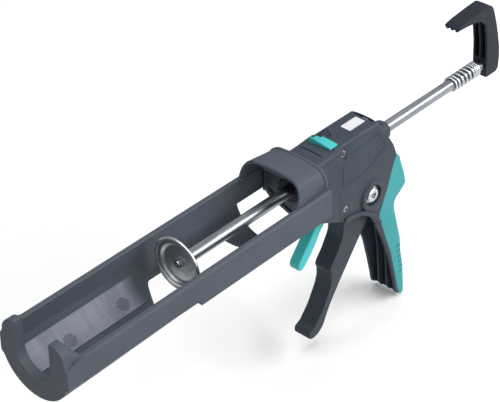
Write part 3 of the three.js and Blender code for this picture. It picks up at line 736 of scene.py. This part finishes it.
def screw_holes():
    """Cutters for the two screws, the trigger's axle and the release lever's pin."""
    screws = [stepped_hole(*screw, 3.5, 2.0, 3.4, 12.4) for screw in (UPPER_SCREW, LOWER_SCREW)]
    axle = stepped_hole(*AXLE, 9.0, 4.2, 8.6, 14.9)
    return screws + [axle, cross_bar("pin_bore", 2.3, -12.6, 12.6, 22, PIN)]


def top_tools():
    """Slider recess with its scoop, the groove in front of it and the slot under the back edge."""
    recess = [(289.8, 30), (289.8, 21.6), (306.6, 21.6), (313.5, 23.7), (313.5, 30)]
    wedge = fillet([(287, 2.0), (306.8, 2.0), (313, 10.9), (287, 10.9)], 0.8, 3)
    slot = fillet([(342.2, -9.2), (343.9, -9.2), (344.6, 0), (343.9, 9.2), (342.2, 9.2)], 0.5, 3)
    return [common(plate("recess", recess, -11, 11), plate("wedge", wedge, 10, 40, "z")),
            box("guide", 292.6, 303.8, 3.0, 5.0, 13.5, 25),
            box("groove", 279.9, 281.3, -10.4, 10.9, 22.3, 26),
            box("clip_room", 340.6, 346.2, -9.6, 9.6, 18.4, 20.6),
            plate("clip_slot", slot, 20.0, 26, "z")]


def round_rear(body):
    """Rounds the back end of the top as seen from above, all the way down its slope."""
    edge = [(337.5, 22.0), (337.5, 15.4), (341.4, 14.3), (343.4, 12.6), (344.7, 9.6), (345.4, 5.0),
            (345.6, 0.0)]
    line = edge + [(x, -y) for x, y in reversed(edge[:-1])] + [(370.0, -22.0), (370.0, 22.0)]
    sections = [[(x + shift, y, z) for x, y in line]
                for z, shift in ((9.6, 13.0), (16.4, 7.0), (BODY_TOP, 0.0), (30.0, 0.0))]
    return cut(body, loft("round_rear", sections))


def make_collar():
    """Tapered collar round the rod's way out, flat underneath."""
    line = [(345.0, 0.0), (345.0, 9.6), (362.0, 9.2), (367.4, 8.2), (369.0, 7.0), (369.0, 0.0)]
    return cut(turned("collar", line, 48), box("under", 330, 380, -20, 20, -20, -7.6))


def make_shells():
    """Both halves of the body: one solid that is split along the middle at the end."""
    rear = common(plate("body", body_profile(), -25, 25), plate("section", body_section(), 293.6, 400, "x"))
    lean = [(240, 40), (240, -80), (298.5, -80), (298.2, -25), (296.1, 1.7), (293.5, 11.4), (291.2, 22),
            (291, 40)]
    cut(rear, plate("lean", lean, -40, 40))
    neck = common(make_neck(), plate("profile", body_profile(), -25, 25))
    body = round_rear(join(neck, rear))
    join(body, make_collar(), *[make_side_panel(s) for s in (-1, 1)])
    join(body, *[make_boss(s) for s in (-1, 1)], *[make_lip(s) for s in (-1, 1)])
    core = plate("core", body_section(-COVER_SKIN - COVER_GAP), 250, 420, "x")
    cut(body, cut(plate("cheeks", widened(cover_profile(), COVER_GAP), -30, 30), core))
    cut(body, *body_hollows())
    join(body, *body_ribs())
    cut(body, bar("rod_way", 6.2, 255, 353, 28), bar("bush_way", 6.5, 351.5, 375, 32))
    cut(body, *screw_holes(), *top_tools())
    soften(body, 0.45, 2, 34)
    right = body.copy()
    right.data = body.data.copy()
    bpy.context.scene.collection.objects.link(right)
    body.name, right.name = "body_shell_left", "body_shell_right"
    common(body, box("left_side", 200, 450, -60, -SEAM / 2, -200, 60))
    common(right, box("right_side", 200, 450, SEAM / 2, 60, -200, 60))
    settle(body, "frame", "grey_plastic", "grey", "shell_left")
    settle(right, "frame", "grey_plastic", "grey", "shell_right")


# ------------------------ soft cover
def cover_profile():
    """Side view of the soft cover on the back of the handle."""
    return fillet([
        (350.5, -66, 8), (353, -55.4, 12), (357, -41.2, 20), (361.6, -24, 8), (366.0, -13.8, 1.5),
        (374.5, -24, 8), (383.6, -46.5, 5), (384.4, -51, 3), (379.6, -55.7, 6), (374.6, -60, 6),
        (373, -66, 10), (377.4, -83.3, 30), (384.6, -107, 20), (386.4, -122, 20), (390.4, -137.9, 15),
        (393, -161, 3), (391, -165.6, 2.5), (386, -166.6, 2), (382.6, -160, 4), (376, -136, 30),
        (369.5, -113.5, 30), (361, -92.7, 30)])


def widened(outline, gap):
    """A clockwise outline moved outwards by gap."""
    moved = []
    for i, point in enumerate(outline):
        along = Vector(outline[(i + 1) % len(outline)]) - Vector(outline[i - 1])
        outward = Vector((-along.y, along.x)).normalized()
        moved.append(tuple(Vector(point) + outward * gap))
    return moved


def make_cover():
    """Soft cover: full at the back, thin on both cheeks, with grip slits low on the back."""
    sections = []
    corner = 5.6
    for z, back, half in (
            (-175, 393.4, 13.3), (-161, 393.2, 13.3), (-137.9, 390.6, 13.3), (-122, 386.8, 13.3),
            (-107, 384.8, 13.3), (-83.3, 377.8, 13.3), (-72, 374.4, 13.4), (-66, 373.4, 13.9),
            (-60, 374.8, 14.6), (-55.7, 379.8, 15.1), (-50, 384.6, 15.6), (-40, 381.2, 16.3),
            (-24, 375.0, 16.4), (-8, 372.0, 16.4)):
        side = arc(back - corner, half - corner, corner, 0, 90, 8) + [(340, half)]
        sections.append([(x, y, z) for x, y in side + [(x, -y) for x, y in reversed(side)]])
    cover = common(plate("soft_cover", cover_profile(), -18, 18), loft("rounded", sections))
    for x, z in ((385.3, -112.5), (386.0, -118.3), (387.0, -124.1), (388.4, -129.9), (389.9, -135.7),
                 (390.9, -141.5)):
        cut(cover, box("slit", x - 8, x + 6, -18, 18, z - 0.7, z + 0.7))
    inside = plate("inside", body_section(-COVER_SKIN), 250, 420, "x")
    cut(cover, common(plate("core", body_profile(), -25, 25), inside))
    tidy(cover)
    settle(cover, "frame", "teal_rubber", "rubber", "grip_cover", angle=50)


make_cover()
make_shells()


# ------------------------ fasteners
def star(radius, depth, points=6, steps=8):
    """Outline of a six-lobed driver socket."""
    line = []
    for k in range(points * steps):
        angle = 2 * math.pi * k / (points * steps)
        r = radius * (1 + depth * math.cos(points * angle))
        line.append((r * math.cos(angle), r * math.sin(angle)))
    return line


def make_screw(name, x, z, face, node):
    """A low round head with a star socket on a plain shank; its head's face is at y = -face."""
    line = [(-face + 1.5, 0.0), (-face + 1.5, 3.05), (-face + 0.35, 3.05), (-face, 2.6), (-face - 0.12, 1.6),
            (-face - 0.12, 0.0)]
    head = turned(name, line, 40, "y", (x, 0, z))
    join(head, cross_bar("shank", 1.7, -face + 1.2, face - 0.6, 24, (x, z)))
    socket = [(x + a, z + b) for a, b in star(1.45, 0.16)]
    cut(head, plate("socket", socket, -face - 1, -face + 0.9))
    soften(head, 0.08, 2, 40)
    settle(head, "frame", "zinc", "steel", node)


def make_nut(name, x, z, low, high, flats, bore, node, axis="y", body="frame"):
    """A hexagonal nut with rounded corners, from low to high along its axis."""
    side = flats / math.sqrt(3)
    centre = (x, 0, z) if axis == "y" else (0, 0, 0)
    nut = bar(name, side, low, high, 6, axis, centre)
    line = [(low, 0.0), (low, side * 0.93), (low + 0.3, side * 1.01), (high - 0.5, side * 1.01),
            (high, side * 0.9), (high, 0.0)]
    common(nut, turned("dome", line, 48, axis, centre))
    cut(nut, bar("thread", bore, low - 5, high + 5, 28, axis, centre))
    soften(nut, 0.12, 2, 40)
    settle(nut, body, "zinc", "zinc", node)


def make_bolt():
    """Trigger axle: domed flange head with a star socket."""
    x, z = AXLE
    line = [(-15.3, 0.0), (-15.3, 7.5), (-15.9, 7.5), (-16.4, 7.0), (-16.6, 6.2), (-17.6, 6.1), (-18.3, 5.4),
            (-18.5, 4.4), (-18.5, 0.0)]
    head = turned("trigger_axle", line, 64, "y", (x, 0, z))
    join(head, cross_bar("shank", 3.8, -16, 17.4, 32, AXLE))
    socket = [(x + a, z + b) for a, b in star(2.9, 0.13)]
    cut(head, plate("socket", socket, -20, -16.3))
    soften(head, 0.15, 2, 40)
    settle(head, "frame", "zinc", "zinc", "trigger_bolt")


make_screw("screw_upper", *UPPER_SCREW, 14.9, "upper_screw")
make_screw("screw_lower", *LOWER_SCREW, 16.2, "lower_screw")
make_bolt()
make_nut("nut_upper", *UPPER_SCREW, 12.8, 15.0, 5.4, 2.0, "upper_screw_nut")
make_nut("nut_lower", *LOWER_SCREW, 13.9, 16.1, 5.4, 2.0, "lower_screw_nut")
make_nut("nut_axle", *AXLE, 15.3, 18.2, 12.5, 4.1, "trigger_bolt_nut")


# ------------------------ trigger and release lever
def make_trigger():
    """Bent trigger with a finger rest at its foot and a fork for the roller at its top."""
    outline = fillet([
        (314.2, -56, 3), (312.8, -71, 14), (306, -83.5, 14), (299.6, -92.3, 4), (298.4, -95.6, 1.5),
        (300.4, -100.5, 5), (300.6, -107, 8), (299, -114, 12), (290.5, -130.6, 30), (281.5, -141.8, 8),
        (275.2, -144.8, 1.4), (274.8, -150.0, 2.2), (279.6, -152.6, 6), (286.5, -150.6, 8),
        (291.6, -146.5, 8), (299.4, -130, 30), (311.5, -112, 30), (323.2, -95.9, 30), (343, -69.6, 20),
        (349.4, -54, 10), (350.6, -38, 14), (349.5, -22, 6), (347.2, -15.4, 1.5), (344.6, -13.1, 1),
        (341.4, -13.1, 1), (339.6, -15, 0.8), (339.8, -21.6, 1), (333, -23.8, 3), (325, -31, 8),
        (321.5, -44, 8)])
    trigger = plate("trigger_lever", outline, -8, 8)
    round_caps(trigger, 1.9, 5)
    cut(trigger, cross_bar("bush_hole", 5.8, -20, 20, 36, AXLE))
    cut(trigger, box("fork", 328, 352, -4.5, 4.5, -21.5, -5))
    cut(trigger, cross_bar("roller_hole", 2.7, -20, 20, 24, ROLLER))
    soften(trigger, 0.25, 2, 40)
    settle(trigger, "trigger", "grey_plastic", "grey", "trigger")


def make_release_lever():
    """Teal thumb lever in front of the trigger, well rounded on both sides."""
    outline = fillet([
        (276.5, -55.4, 8), (264.6, -70.5, 5), (263.4, -73.5, 1.6), (264.4, -77.5, 2), (267.6, -79, 2.4),
        (271.2, -76.8, 4), (279.6, -68, 8), (285, -60.5, 8), (288.4, -54, 6), (293, -48.6, 4),
        (297, -40.5, 4), (298, -32, 4), (295.5, -26.5, 3), (292.8, -19, 1), (288.6, -19, 1),
        (286.4, -26.5, 3), (285.8, -35, 4), (284.5, -44, 5)])
    lever = plate("release_arm", outline, -4.8, 4.8)
    round_caps(lever, 3.8, 8)
    cut(lever, cross_bar("pin_hole", 2.3, -20, 20, 24, PIN))
    settle(lever, "lever", "teal_plastic", "teal", "release_lever")


make_trigger()
make_release_lever()


# ------------------------ slider, label and clip
def make_slider():
    """Thumb slider: a thin upright lip in front and a low sloping block behind its near part."""
    front, block_front, back = 290.5, 292.5, 299.4
    sections = []
    for y, lip, block in ((-10.3, 24.7, 24.1), (-9.9, 25.1, 24.6), (-9.0, 25.2, 24.7), (-8.4, 25.25, 24.7),
                          (-6.0, 25.5, 24.8), (2.4, 26.4, 24.9), (2.6, 26.4, 24.9), (4.1, 26.7, 24.9),
                          (4.5, 26.75, 24.5), (4.7, 26.8, 23.2), (9.6, 27.3, 23.1), (10.1, 27.1, 23.0),
                          (10.4, 26.4, 22.8)):
        foot = 23.65 if y < 2.5 else 21.9
        sections.append([
            (front, y, foot), (front, y, lip - 0.6), (290.75, y, lip - 0.15), (291.1, y, lip),
            (291.6, y, lip - 0.1), (292.0, y, max(block, lip - 0.6)), (block_front, y, block),
            (298.6, y, block + 0.75), (299.15, y, block + 0.6), (back, y, block), (back, y, foot)])
    slider = join(loft("flow_slider_cap", sections), box("tongue", 293, 296.4, 3.3, 4.7, 19.2, 22.5))
    settle(slider, "slider", "teal_plastic", "teal", "flow_slider", angle=40)


def make_label():
    """Blank film label on the top of the body."""
    outline = fillet([(320.8, -4.7), (339.2, -4.7), (339.2, 4.7), (320.8, 4.7)], 0.7, 4)
    label = plate("blank_label", outline, BODY_TOP + 0.03, BODY_TOP + 0.22, "z")
    settle(label, "frame", "label_film", "label", "label")


def make_clip():
    """Sheet clip in the slot at the back, of which only a short tab stands up."""
    outline = fillet([(341.0, 18.6), (345.8, 18.6), (345.8, 19.6), (343.8, 19.6), (343.8, 22.8),
                      (343.0, 22.8), (343.0, 19.6), (341.0, 19.6)], 0.25, 3)
    clip = plate("spring_clip", outline, -8.6, 8.6)
    for low, high in ((-10, -4.4), (1.0, 10)):
        cut(clip, box("away", 342, 345, low, high, 19.7, 24))
    soften(clip, 0.15, 2, 40)
    settle(clip, "frame", "zinc", "zinc", "rear_clip")


make_slider()
make_label()
make_clip()


# ------------------------ rod, disc, springs and hook
def make_rod():
    """Drawn rod with a thinner threaded stud in front and chamfered ends."""
    low, high = extent("push_rod")
    front, back = low.x + 0.02, high.x - 0.02
    radius, pitch = 4.73, 0.8
    profile = [(front, 0.0), (front, 2.5)]
    x = front + 0.5
    while x < 141.6:
        profile += [(x, 2.72), (x + pitch / 2, 2.98)]
        x += pitch
    profile += [(142.45, 2.7), (142.45, 4.35), (142.9, radius), (back - 0.5, radius), (back, 4.2),
                (back, 0.0)]
    rod = turned("drawn_rod", profile, 64)
    settle(rod, "rod", "zinc", "rod", "push_rod", angle=40)


def make_disc():
    """Pressed steel disc: rolled rim, flat land and a dish that takes the nut."""
    front = [(138.8, 3.0), (138.8, 13.6), (138.6, 14.7), (137.9, 15.6), (137.0, 16.3), (136.4, 16.9),
             (136.3, 17.8), (136.4, 18.9), (136.2, 19.6)]
    bead = arc(136.5, 20.5, 1.2, 230, -20, 14)
    back = [(138.2, 19.9), (138.4, 18.6), (138.5, 17.4), (139.4, 16.4), (140.3, 15.2), (140.6, 14.0),
            (140.6, 3.0)]
    disc = turned("pressure_plate", front + bead + back, 96)
    settle(disc, "rod", "zinc", "disc", "pressure_disc", angle=50)


def helix(name, radius, wire, stations, per_turn=28, sides=12):
    """A wire tube that winds round the X axis; stations are (turns so far, x)."""
    total = stations[-1][0]
    steps = int(total * per_turn)
    rings = []
    for k in range(steps + 1):
        turn = total * k / steps
        j = max(i for i in range(len(stations) - 1) if stations[i][0] <= turn)
        (t0, x0), (t1, x1) = stations[j], stations[j + 1]
        x = x0 + (x1 - x0) * (turn - t0) / (t1 - t0)
        angle = 2 * math.pi * turn
        out = Vector((0, math.cos(angle), math.sin(angle)))
        centre = out * radius + Vector((x, 0, 0))
        ring = []
        for s in range(sides):
            a = 2 * math.pi * s / sides
            ring.append(centre + (out * math.cos(a) + Vector((1, 0, 0)) * math.sin(a)) * wire / 2)
        rings.append(ring)
    return loft(name, rings)


def make_springs():
    """The end spring round the rod, and the two inner springs, each inner one with a mesh of its own."""
    turns = [(0, 456.0), (0.8, 457.7), (5.6, 481.6), (8.4, 488.0), (9.2, 489.8)]
    buffer = helix("end_spring", 5.8, 1.75, turns)
    settle(buffer, "rod", "spring_steel", "spring", "buffer_spring", angle=60)
    drive = helix("return_spring", 7.4, 1.5, [(0, 305.7), (0.9, 307.2), (6.1, 331.4), (7.0, 332.8)])
    settle(drive, "frame", "spring_steel", "spring", "drive_spring", angle=60)
    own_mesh(drive)
    brake = helix("lock_spring", 7.2, 1.3, [(0, 271.2), (0.8, 272.4), (2.6, 276.2), (3.4, 277.0)])
    settle(brake, "frame", "spring_steel", "spring", "brake_spring", angle=60)
    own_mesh(brake)


def make_hook():
    """Pull hook: hollow-fronted grip behind the rod and an arm that reaches forward above it."""
    outline = fillet([
        (496.6, -9.2, 1.2), (510.8, -9.2, 2.5), (513.6, -6.4, 3), (513.8, 4, 20), (512.6, 14, 30),
        (509.6, 26, 40), (506.4, 36.7, 40), (501.6, 50, 20), (498.2, 57.2, 6), (492.5, 60.2, 5),
        (481, 59.5, 30), (469, 58.3, 30), (459.6, 57.3, 20), (451.8, 55.5, 0.8), (452.2, 53.4, 0.8),
        (463, 52.8, 20), (476, 51.2, 20), (484, 49, 8), (490.2, 43, 5), (494.0, 23, 40)], 0, 6)
    hook = plate("hook_grip", outline, -7.0, 7.0)
    round_caps(hook, 1.0, 4)
    for y0, y1 in ((-5.2, -0.8), (0.8, 5.2)):
        slot = fillet([(y0, 8.0), (y1, 8.0), (y1, 46.5), (y0, 46.5)], 1.9, 5)
        cut(hook, plate("slot", slot, 480, 506, "x"))
    cut(hook, bar("rod_socket", 4.7, 490, 506.3, 6), bar("socket_mouth", 5.2, 490, 498.6, 40))
    cut(hook, cross_bar("pin_way", 1.7, -4.6, 20, 20, (502, 0)))
    for place in ((514.6, 5.5), (513.8, 15.5), (511.4, 25), (508.6, 34.5)):
        cut(hook, cross_bar("notch", 1.5, -8, 8, 16, place))
    for y in (-4.5, 0.0, 4.5):
        foot = fillet([(y - 1.5, 55), (y + 1.5, 55), (y + 1.2, 52.2), (y - 1.2, 52.2)], 0.5, 3)
        join(hook, plate("foot", foot, 452.4, 456.0, "x"))
    soften(hook, 0.3, 2, 40)
    settle(hook, "rod", "dark_plastic", "dark", "pull_hook")


make_rod()
make_disc()
make_springs()
make_hook()
make_nut("nut_disc", 0, 0, 136.9, 138.5, 8.0, 3.1, "disc_nut", "x", "rod")


# ------------------------ CAD pieces that keep their shape
def finish_cad(node, material, width):
    """A node whose shape is right: it gets its material and fine edges."""
    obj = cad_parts[node]
    obj.data.materials.clear()
    obj.data.materials.append(FINISHES[material].material)
    weld = obj.modifiers.new("weld", "WELD")
    weld.merge_threshold = 0.00001
    edges = obj.modifiers.new("edges", "BEVEL")
    edges.width = width * MM
    edges.segments = 2
    edges.limit_method = "ANGLE"
    edges.angle_limit = math.radians(35)


finish_cad("disc_washer", "zinc", 0.1)
for part in ("trigger_bush", "lever_pin", "thrust_roller", "clamp_plate_back", "clamp_plate_front",
             "brake_plate"):
    finish_cad(part, "steel", 0.2)
for part in ("front_bush", "rear_bush"):
    finish_cad(part, "dark", 0.3)
finish_cad("hook_pin", "steel", 0.1)


# ------------------------ camera, light and floor
def make_stage():
    """Plain pale floor just under the object."""
    z = CAD_BOX[0].z - 0.6 * MM
    half = 6.0
    corners = [(-half, -half, z), (half, -half, z), (half, half, z), (-half, half, z)]
    floor = mesh_object("floor", corners, [(0, 1, 2, 3)])
    pale = moulded("floor_pale", (0.70, 0.70, 0.70), (0.72, 0.72, 0.72), 0.8, 0.05)
    floor.data.materials.append(pale.material)


def area_light(name, place, size, power):
    """A soft white panel aimed at the middle of the object; place and size in metres."""
    data = bpy.data.lights.new(name, "AREA")
    data.shape = "RECTANGLE"
    data.size, data.size_y = size
    data.energy = power
    lamp = bpy.data.objects.new(name, data)
    lamp.location = place
    lamp.rotation_mode = "QUATERNION"
    lamp.rotation_quaternion = (Vector((0, 0, 0)) - Vector(place)).to_track_quat("-Z", "Y")
    bpy.context.scene.collection.objects.link(lamp)


def make_lights():
    """Soft studio light, strongest from the rear left and from above."""
    world = bpy.data.worlds.new("studio")
    bpy.context.scene.world = world
    world.use_nodes = True
    sky = world.node_tree.nodes["Background"].inputs
    sky["Color"].default_value = (1, 1, 1, 1)
    sky["Strength"].default_value = 0.3
    area_light("key_rear_left", (1.15, -1.5, 1.2), (2.4, 0.7), 62)
    area_light("left", (-0.9, -1.95, 0.9), (1.6, 1.0), 15)
    area_light("top", (-0.5, 0.0, 2.2), (1.8, 1.8), 48)
    area_light("back", (1.35, 1.2, 1.28), (2.0, 1.4), 6)


def make_camera():
    """The view from the front left, 35.5 degrees above the floor."""
    azimuth = math.radians(-48.22)
    elevation = math.radians(35.5)
    flat = math.cos(elevation)
    back = Vector((math.sin(azimuth) * flat, -math.cos(azimuth) * flat, math.sin(elevation)))
    right = Vector((math.cos(azimuth), math.sin(azimuth), 0))
    up = back.cross(right)
    target = Vector((200.0, 0.0, 0.0)) + right * 8.72 + up * 16.97
    distance = 1296.22
    data = bpy.data.cameras.new("camera")
    data.lens = 129.33
    data.sensor_width = 36.0
    data.clip_start, data.clip_end = 0.05, 20
    camera = bpy.data.objects.new("camera", data)
    place = ORIGIN + (target + back * distance) * MM
    camera.matrix_world = Matrix.Translation(place) @ Matrix((right, up, back)).transposed().to_4x4()
    bpy.context.scene.collection.objects.link(camera)
    bpy.context.scene.camera = camera


bpy.context.scene.view_settings.view_transform = "Standard"
make_stage()
make_lights()
make_camera()
